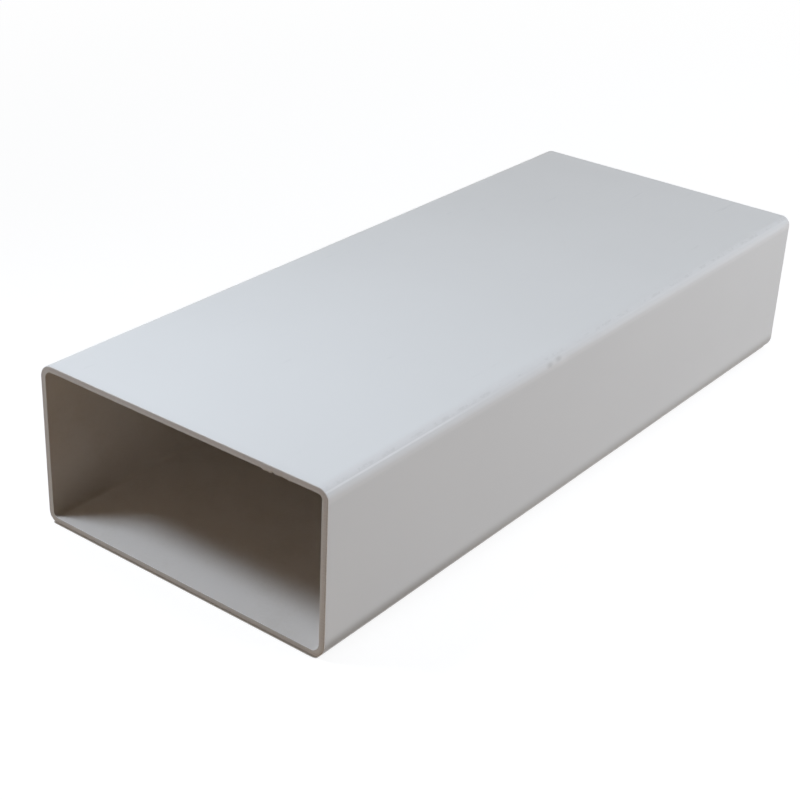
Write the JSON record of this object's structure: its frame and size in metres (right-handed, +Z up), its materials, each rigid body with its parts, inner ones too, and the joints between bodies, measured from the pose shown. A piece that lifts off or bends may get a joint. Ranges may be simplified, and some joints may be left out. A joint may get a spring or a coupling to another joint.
{
  "type": "rectangular plastic tubing",
  "caption": "Short length of rigid white plastic tubing of flat rectangular section with rounded corners, open and sawn square at both ends, for carrying ventilation air between fittings.",
  "frame": {"origin": "centre of the underside, midway between the two sawn ends and the two narrow sides", "axes": "+Y along the length, from the near sawn end to the far one; +X across the broad face; +Z up, out of the upper broad face"},
  "size_m": [0.11, 0.267, 0.054],
  "materials": {
    "white_pvc": "satin"
  },
  "bodies": {
    "root": {"rectangular_duct": "white_pvc"}
  },
  "joints": []
}
